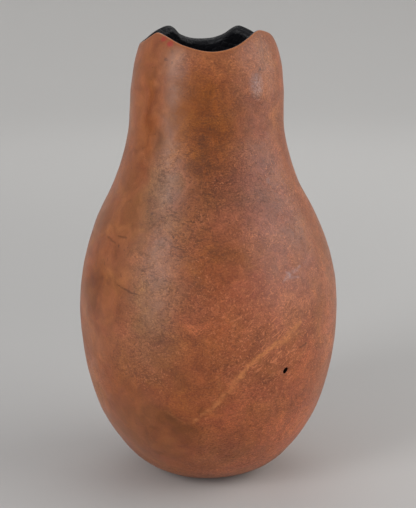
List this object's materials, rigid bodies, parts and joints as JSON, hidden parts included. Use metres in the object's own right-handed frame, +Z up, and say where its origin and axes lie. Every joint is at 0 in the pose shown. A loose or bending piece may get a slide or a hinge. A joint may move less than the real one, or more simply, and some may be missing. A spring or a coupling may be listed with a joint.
{
  "type": "carved gourd",
  "caption": "Hollow dried bottle gourd with a pear-shaped belly and a wide neck, cut open at the top along a waved rim, stands as a vase.",
  "frame": {"origin": "on the flat spot under the belly that the gourd stands on, on the upright axis", "axes": "+Z up through the mouth, -Y towards the front of the gourd as pictured, +X to its right"},
  "size_m": [0.1373, 0.1354, 0.2375],
  "materials": {
    "gourd_skin": "dried gourd skin, orange brown with fine crackle mottling and a waxed satin sheen; the hollow and the cut rim are painted satin black"
  },
  "bodies": {
    "root": {"gourd_shell": "gourd_skin"}
  },
  "joints": []
}
